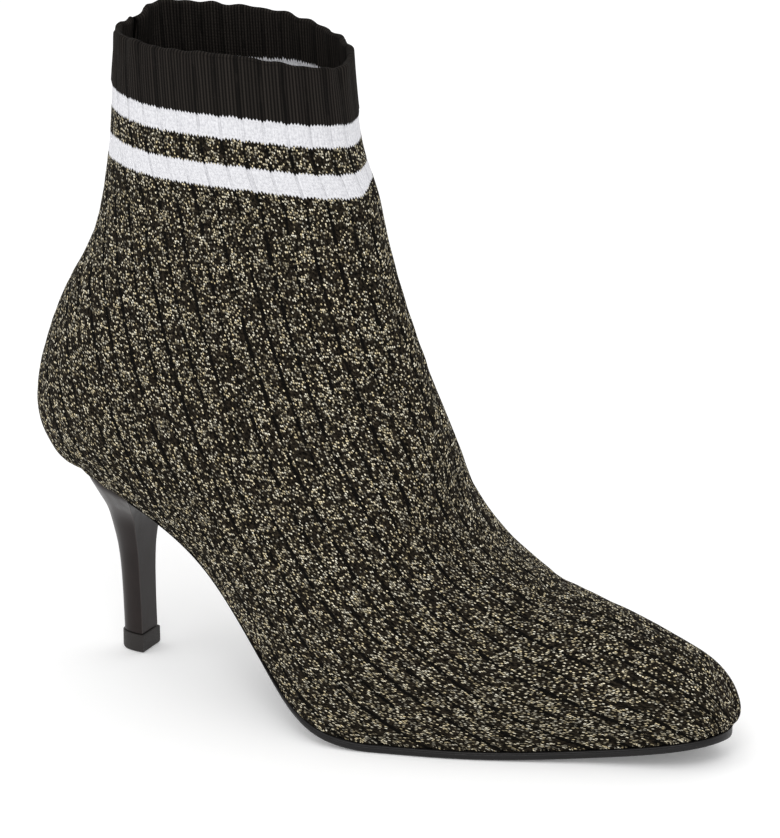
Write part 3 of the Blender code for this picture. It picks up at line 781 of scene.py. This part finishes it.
def knit_material():
    """Dark knit with pale metallic thread, two white stripes and a black ribbed cuff."""
    n = Nodes("knit_upper")
    uv = n.add("ShaderNodeUVMap", {"uv_map": "knit"}).outputs["UV"]
    parts = n.add("ShaderNodeSeparateXYZ", Vector=uv)
    across = parts.outputs["X"]
    along = parts.outputs["Y"]
    crossing = n.add("ShaderNodeAttribute", {"attribute_name": "hollow"}).outputs["Fac"]
    groove = rib_grooves(n, uv, across)
    hollow = n.math("MAXIMUM", crossing, groove)

    # stitch columns and the saw teeth that they make at the edges of the stripes
    shifted = n.math("ADD", across, PATTERN_OFFSET)
    column = n.math("PINGPONG", shifted, WALE / 2)
    count = n.math("FLOOR", n.math("DIVIDE", shifted, WALE))
    luck = n.add("ShaderNodeTexWhiteNoise", {"noise_dimensions": "1D"}, W=count).outputs["Value"]
    tooth = n.math("MULTIPLY_ADD", column, TOOTH_SLOPE, n.math("MULTIPLY", luck, TOOTH_LUCK))
    tooth = n.math("SUBTRACT", tooth, n.math("MULTIPLY", hollow, TOOTH_DIP))
    stitched = n.math("ADD", along, tooth)
    stripes = n.math("MAXIMUM", between(n, stitched, STRIPE_ONE, BAND),
                     between(n, stitched, STRIPE_TWO, BODY))
    inside = between(n, stitched, -INNER_STRIPE - INNER_STRIPE_WIDTH, -INNER_STRIPE)
    white = n.math("MAXIMUM", stripes, inside)
    cuff = n.ramp(stitched, STRIPE_ONE, STRIPE_ONE + STITCH_EDGE, 1.0, 0.0)

    # flecks of thread, painted bright as glints, in a net that is longer along the ribs
    cells = n.add("ShaderNodeVectorMath", {"operation": "MULTIPLY"})
    n.feed(cells.inputs[0], uv)
    cells.inputs[1].default_value = (1 / FLECK_WIDTH, 1 / FLECK_LENGTH, 1.0)
    cells = cells.outputs[0]
    fleck, tint = thread_flecks(n, uv, cells, hollow, n.math("MAXIMUM", cuff, white))

    # colours
    fuzz = n.noise(cells, 0.8, 4.0, "2D")
    ground = n.mix(n.ramp(fuzz, 0.3, 0.75), GROUND_DARK, GROUND_LIGHT)
    # painted shade in the grooves and hollows of the knit
    ground = n.mix(n.ramp(hollow, 0.15, 0.8, 0.0, 0.9), ground, GROUND_GROOVE_SHADE)
    rib_line = n.ramp(column, 0.0, WALE / 2)
    # each stitch column of the cuff is painted lighter at its crown as a highlight, and its tone
    # also varies at random from column to column
    lit_crowns_and_tone = n.math("MULTIPLY", rib_line, n.math("MULTIPLY_ADD", luck, 0.5, 0.6))
    black = n.mix(lit_crowns_and_tone, CUFF_DARK, CUFF_LIGHT)
    # painted shade in the grooves of the cuff
    black = n.mix(n.ramp(hollow, 0.2, 0.9, 0.0, 0.7), black, CUFF_SHADE)
    cloth = n.mix(n.ramp(fuzz, 0.25, 0.7), CLOTH_DARK, CLOTH_LIGHT)
    # painted shade in the grooves of the white stripes
    cloth = n.mix(n.ramp(hollow, 0.3, 1.0, 0.0, 0.35), cloth, CLOTH_GROOVE_SHADE)
    base = n.mix(fleck, ground, n.mix(tint, THREAD_PALE_GLINT, THREAD_GOLD_GLINT))
    base = n.mix(cuff, base, black)
    base = n.mix(white, base, cloth)

    # stitches
    course = n.math("PINGPONG", n.math("ADD", along, PATTERN_OFFSET), COURSE)
    stitch = n.math("MULTIPLY", rib_line, n.ramp(course, 0.0, COURSE, 0.6, 1.0))
    height = n.math("MULTIPLY_ADD", stitch, 0.7, n.math("MULTIPLY", fuzz, 0.5))
    height = n.math("MULTIPLY_ADD", fleck, 0.6, height)
    height = n.math("MULTIPLY_ADD", groove, -1.2, height)
    return n.surface(
        Base_Color=base,
        Metallic=n.math("MULTIPLY", fleck, 0.4),
        Roughness=n.math("MULTIPLY_ADD", fleck, -0.5, 0.9),
        Specular_IOR_Level=0.05,
        Normal=n.bump(height, 0.00035, 0.9),
    )


def lining_material():
    """Smooth dark lining of the foot."""
    n = Nodes("foot_lining")
    where = n.add("ShaderNodeTexCoord").outputs["Object"]
    weave = n.noise(where, 900.0, 3.0)
    return n.surface(
        Base_Color=n.mix(n.noise(where, 60.0), LINING_DARK, LINING_LIGHT),
        Roughness=n.ramp(weave, 0.3, 0.7, 0.7, 0.9),
        Normal=n.bump(weave, 0.0002, 0.6),
    )


def heel_material():
    """Glossy brown-black leather wrapped round the heel, with a painted highlight along its breast
    corners.
    """
    n = Nodes("heel_leather")
    where = n.add("ShaderNodeTexCoord").outputs["Object"]
    stretch = n.add("ShaderNodeMapping", Vector=where, Scale=(1.0, 1.0, 0.35))
    tone = n.noise(stretch.outputs[0], 220.0, 4.0)
    # painted highlight along the breast corners
    edge = n.add("ShaderNodeAttribute", {"attribute_name": "corner"}).outputs["Fac"]
    return n.surface(
        Base_Color=n.mix(edge, n.mix(tone, LEATHER_DARK, LEATHER_LIGHT), LEATHER_CORNER_HIGHLIGHT),
        Roughness=n.ramp(tone, 0.3, 0.7, 0.28, 0.40),
        Specular_IOR_Level=0.16,
        Coat_Weight=0.06,
        Coat_Roughness=0.10,
        Normal=n.bump(n.noise(where, 2600.0), 0.00006, 0.5),
    )


def tip_material():
    """Matt top piece under the heel."""
    n = Nodes("heel_tip_rubber")
    where = n.add("ShaderNodeTexCoord").outputs["Object"]
    grain = n.noise(where, 1800.0, 3.0)
    return n.surface(
        Base_Color=n.mix(grain, TIP_DARK, TIP_LIGHT),
        Roughness=n.ramp(grain, 0.3, 0.7, 0.5, 0.7),
        Specular_IOR_Level=0.3,
        Normal=n.bump(grain, 0.00008, 0.6),
    )


def sole_material():
    """Black sole with a satin edge."""
    n = Nodes("outsole_edge")
    where = n.add("ShaderNodeTexCoord").outputs["Object"]
    grain = n.noise(where, 1400.0, 3.0)
    return n.surface(
        Base_Color=n.mix(n.noise(where, 45.0, 3.0), SOLE_DARK, SOLE_LIGHT),
        Roughness=n.ramp(grain, 0.3, 0.7, 0.36, 0.5),
        Specular_IOR_Level=0.24,
        Normal=n.bump(grain, 0.00006, 0.5),
    )


def rim_rows(edge, normals, wall):
    """Half round of the rim from its inner to its outer side."""
    centre = edge - normals * (wall / 2)
    rows = []
    for turn in np.linspace(math.pi, 0, RIM_STEPS + 1)[1:-1]:
        upwards = np.array([0, 0, math.sin(turn)])
        rows.append(centre + wall / 2 * (normals * math.cos(turn) + upwards))
    return np.array(rows)


def make_upper():
    """Knit body, cuff with its inner side, and the lining of the foot."""
    points, across, along = knit_grid()
    normals = grid_normals(points)
    pattern = pattern_rows(across, along)
    relief, hollow = knit_relief(across, along, pattern)
    outside = points + normals * (relief + crease(across, along))[..., None]
    knit = knit_material()

    split = int(np.argmax(pattern.min(axis=1) > BODY_SPLIT))
    body = sheet("knit_body", outside[split:], across[split:], pattern[split:], hollow[split:],
                 knit)
    place(body, "knit", "upper")

    # the cuff runs up its inner side, over the rim and down its outer side
    top = slice(0, split + 1)
    shift = rim_shift(points[top], normals[top], across[top], along[top])
    shell = outside[top] + shift
    wall = UPPER_WALL + CUFF_STEP
    rim = rim_rows(shell[0], normals[0], wall)
    depth = int(np.argmax(along.min(axis=1) > INNER_DEPTH))
    thickness = wall + (UPPER_WALL - wall) * smooth_ramp(along[:depth], *INNER_THINNING)
    inner = outside[:depth] - normals[:depth] * thickness[..., None]
    shifted = min(depth, split + 1)
    inner[:shifted] += shift[:shifted]
    inside_rows = -(along[:depth] + bows("stripe_inside", share_from_back(across[:depth])))
    rows = np.concatenate([inner[::-1], rim, shell])
    down = np.concatenate([inside_rows[::-1], np.zeros(rim.shape[:2]), pattern[top]])
    side = np.concatenate([across[:depth][::-1], np.repeat(across[:1], len(rim), axis=0),
                           across[top]])
    deep = np.concatenate([hollow[:depth][::-1], np.repeat(hollow[:1], len(rim), axis=0),
                           hollow[top]])
    place(sheet("knit_cuff", rows, side, down, deep, knit), "knit", "upper")

    low = slice(depth - 1, len(points) - LINING_END, LINING_STRIDE)
    every = slice(None, None, LINING_STRIDE)
    inside = points[low, every] - normals[low, every] * UPPER_WALL
    lining = sheet("foot_lining", inside, across[low, every], along[low, every], hollow[low, every],
                   lining_material())
    place(lining, "knit", "upper")


def face_out(mesh):
    """Point all faces of a closed mesh outwards."""
    bmesh.ops.recalc_face_normals(mesh, faces=mesh.faces)
    if mesh.calc_volume(signed=True) < 0:
        bmesh.ops.reverse_faces(mesh, faces=mesh.faces)


def solid(name, rings, material, close_first=True, corners=()):
    """Closed mesh through rings of points, with some places along the rings marked as corners."""
    mesh = bmesh.new()
    corner = mesh.verts.layers.float.new("corner")
    verts = [[mesh.verts.new(p) for p in ring] for ring in rings]
    for ring in verts:
        for k in corners:
            # strength of the painted highlight at the marked corners
            ring[k][corner] = CORNER_SHINE
    for a, b in zip(verts, verts[1:]):
        for i in range(len(a)):
            j = (i + 1) % len(a)
            mesh.faces.new((a[i], a[j], b[j], b[i]))
    if close_first:
        mesh.faces.new(verts[0])
    mesh.faces.new(verts[-1])
    bmesh.ops.remove_doubles(mesh, verts=mesh.verts, dist=WELD)
    bmesh.ops.dissolve_degenerate(mesh, edges=mesh.edges, dist=WELD / 10)
    face_out(mesh)
    data = bpy.data.meshes.new(name)
    mesh.to_mesh(data)
    mesh.free()
    piece = add_piece(name, data, material)
    data.set_sharp_from_angle(angle=SHARP_ANGLE)
    return piece


def polar_outline(loop, centre_x):
    """Points of an outline at even angles round the middle of the breast, outer side first."""
    angle = np.unwrap(np.arctan2(centre_x - loop[:, 0], -loop[:, 1]))
    at = np.linspace(0, math.pi, HEEL_POINTS + 1)
    return np.stack([np.interp(at, angle, loop[:, k]) for k in range(2)], axis=1)


def stem_outline(back, breast, half):
    """D-shaped outline of the stem, from its outer breast corner round the back."""
    t = np.linspace(0, math.pi, PROFILE_STEPS)
    x = TIP_SETBACK + breast - (breast - back) * np.sin(t) ** HEEL_BACK_POWER
    y = -half * np.cos(t)
    return polar_outline(np.stack([x, y], axis=1), TIP_SETBACK + breast)


def rows_to(x_share):
    """Row number where the feather edge has come back to a share of the length."""
    dense = np.linspace(0, FOOT_LAST, SEARCH_STEPS)
    x = np.array([section_at(s)["x_base"] for s in dense])
    return float(np.interp(-x_share * LENGTH, -x, dense))


def seat_outline():
    """Outline of the heel's seat inside the feather edge, from the outer breast corner."""
    breast = BREAST_X * LENGTH
    sections = [section_at(s) for s in np.linspace(rows_to(BREAST_X), FOOT_LAST, SEAT_SECTIONS)]
    outer = [(v["x_base"], v["y_base"] - v["feather"]) for v in sections]
    inner = [(v["x_base"], v["y_base"] + v["feather"]) for v in sections]
    loop = np.array(outer + inner[-2::-1])
    centre = np.array([breast, 0.0])
    reach = np.linalg.norm(loop - centre, axis=1)
    loop = centre + (loop - centre) * (1 - SEAT_INSET / reach)[:, None]
    loop[0, 0] = loop[-1, 0] = breast
    return polar_outline(loop, breast)


def make_heel():
    """Heel stem from the tip to the seat, smooth between the rings of the table."""
    seat = seat_outline()
    table = np.array(HEEL)
    levels = 1 - (1 - np.linspace(0, 1, HEEL_LEVELS)) ** LEVEL_CROWDING
    low = TIP_HEIGHT + GAP
    rings = []
    for height in levels:
        back, breast, half, blend = [float(spline(table[:, 0], table[:, k], height))
                                     for k in (1, 2, 3, 4)]
        blend = min(max(blend, 0.0), 1.0)
        stem = stem_outline(back * TIP_SETBACK, breast * TIP_SETBACK, half * TIP_SETBACK)
        loop = stem + (seat - stem) * blend
        z = low + (sole_top(loop[:, 0], loop[:, 1]) - low) * height
        ring = np.column_stack([loop[:, 0] - TIP_SETBACK, loop[:, 1], z])
        beside = CORNER_WIDTH / np.linalg.norm(ring[-1] - ring[0])
        extra = [ring[-1] + (ring[0] - ring[-1]) * k for k in (beside, 1 - beside)]
        rings.append([tuple(p) for p in ring] + [tuple(p) for p in extra])
    wrap = solid("heel_wrap", rings, heel_material(), corners=(0, HEEL_POINTS))
    rounding = wrap.modifiers.new("rounding", "BEVEL")
    rounding.width = HEEL_BEVEL
    rounding.segments = BEVEL_STEPS
    rounding.limit_method = "ANGLE"
    rounding.angle_limit = BEVEL_ANGLE
    place(wrap, "heel_leather", "heel")


def make_heel_tip():
    """Top piece with softened edges."""
    first = HEEL[0]
    rings = []
    for z, past_margin in TIP_EDGE:
        out = TIP_MARGIN + past_margin
        loop = stem_outline(first.back * TIP_SETBACK - out, first.breast * TIP_SETBACK + out,
                            first.half * TIP_SETBACK + out)
        rings.append([(x - TIP_SETBACK, y, z) for x, y in loop])
    place(solid("top_piece", rings, tip_material()), "tip_rubber", "heel_tip")


def feather_edge(rows, margin):
    """Outer and inner points (x, y) of the feather edge, moved outwards by a margin."""
    left = []
    right = []
    for s in rows:
        v = section_at(s)
        left.append((v["x_base"], v["y_base"] - v["feather"]))
        right.append((v["x_base"], v["y_base"] + v["feather"]))
    loop = np.array(left[::-1] + right[1:])
    tangent = np.gradient(loop, axis=0)
    tangent /= np.linalg.norm(tangent, axis=1)[:, None]
    outward = np.stack([tangent[:, 1], -tangent[:, 0]], axis=1)
    middle = len(left) - 1
    outward[middle] = (1, 0)
    loop = loop + margin * outward
    return loop[:middle + 1][::-1], loop[middle:]


def sole_ring(a, b):
    """Section across the outsole between two facing points of its outline."""
    width = max(float(np.linalg.norm(b - a)), WELD)
    lean = WAIST_LEAN * (1 - float(smooth_ramp(a[0], *LEAN_FADE)))
    ring = []
    for start, end, edge, cover in ((a, b, EDGE[::-1], sole_top), (b, a, EDGE, tread_height)):
        for inwards, share in edge:
            x, y = start + (end - start) * min((inwards + lean * share) / width, 0.5)
            high = float(sole_top(x, y))
            low = float(tread_height(x, y))
            ring.append((x - TIP_SETBACK, y, high - share * (high - low)))
        inset = EDGE[0][0] if cover is sole_top else EDGE[-1][0] + lean
        first = min(inset / width, 0.5)
        for k in np.linspace(0, 1, SOLE_COLUMNS + 1)[1:-1]:
            x, y = start + (end - start) * (first + (1 - 2 * first) * k)
            ring.append((x - TIP_SETBACK, y, float(cover(x, y))))
    return ring


def make_outsole():
    """Outsole with a rounded, grooved edge that leans inwards at the waist."""
    last = rows_to(BREAST_X)
    t = np.linspace(0, 1, SOLE_STATIONS)
    left, right = feather_edge(last * (1 - np.cos(math.pi / 2 * t)), SOLE_MARGIN)
    left[-1, 0] = right[-1, 0] = BREAST_X * LENGTH + GAP
    rings = [sole_ring(a, b) for a, b in zip(left, right)]
    place(solid("sole_unit", rings, sole_material(), close_first=False), "sole_rubber", "outsole")


def dress_insole():
    """The CAD insole keeps its mesh and gets the lining's fabric."""
    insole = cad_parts["insole"]
    insole.data.materials.clear()
    insole.data.materials.append(lining_material())


def make_camera():
    """Camera that looks at the boot as the photograph does."""
    data = bpy.data.cameras.new("photo_camera")
    data.sensor_fit = "AUTO"
    data.sensor_width = SENSOR
    data.lens = SENSOR * PIXELS_PER_METRE * DISTANCE / max(IMAGE_SIZE)
    data.clip_start = NEAREST
    camera = bpy.data.objects.new("photo_camera", data)
    bpy.context.scene.collection.objects.link(camera)
    level = math.cos(ELEVATION)
    away = Vector((math.sin(AZIMUTH) * level, -math.cos(AZIMUTH) * level, math.sin(ELEVATION)))
    camera.location = TARGET + away * DISTANCE
    camera.rotation_euler = (-away).to_track_quat("-Z", "Y").to_euler()
    bpy.context.scene.camera = camera


def make_lamp(lamp):
    """Round soft light from a row of the table."""
    data = bpy.data.lights.new(lamp.name, "AREA")
    data.shape = "DISK"
    data.size = lamp.size
    data.energy = lamp.power
    light = bpy.data.objects.new(lamp.name, data)
    light.location = lamp.place
    towards = Vector(lamp.aim) - Vector(lamp.place)
    light.rotation_euler = towards.to_track_quat("-Z", "Y").to_euler()
    bpy.context.scene.collection.objects.link(light)


def make_studio():
    """White floor and background, and the lamps."""
    paint = Nodes("studio_floor").surface(Base_Color=FLOOR, Roughness=0.9, Emission_Color=WHITE,
                                          Emission_Strength=FLOOR_GLOW)
    bpy.ops.mesh.primitive_plane_add(size=FLOOR_SIZE, location=(0, 0, -FLOOR_DROP))
    floor = bpy.context.object
    floor.name = "studio_floor"
    floor.data.materials.append(paint)
    world = bpy.data.worlds.new("studio_world")
    world.use_nodes = True
    sky = world.node_tree.nodes["Background"]
    sky.inputs["Color"].default_value = WHITE
    sky.inputs["Strength"].default_value = 1.0
    bpy.context.scene.world = world
    for lamp in LAMPS:
        make_lamp(lamp)
    bpy.context.scene.view_settings.view_transform = "Standard"


make_upper()
make_outsole()
make_heel()
make_heel_tip()
dress_insole()
make_camera()
make_studio()
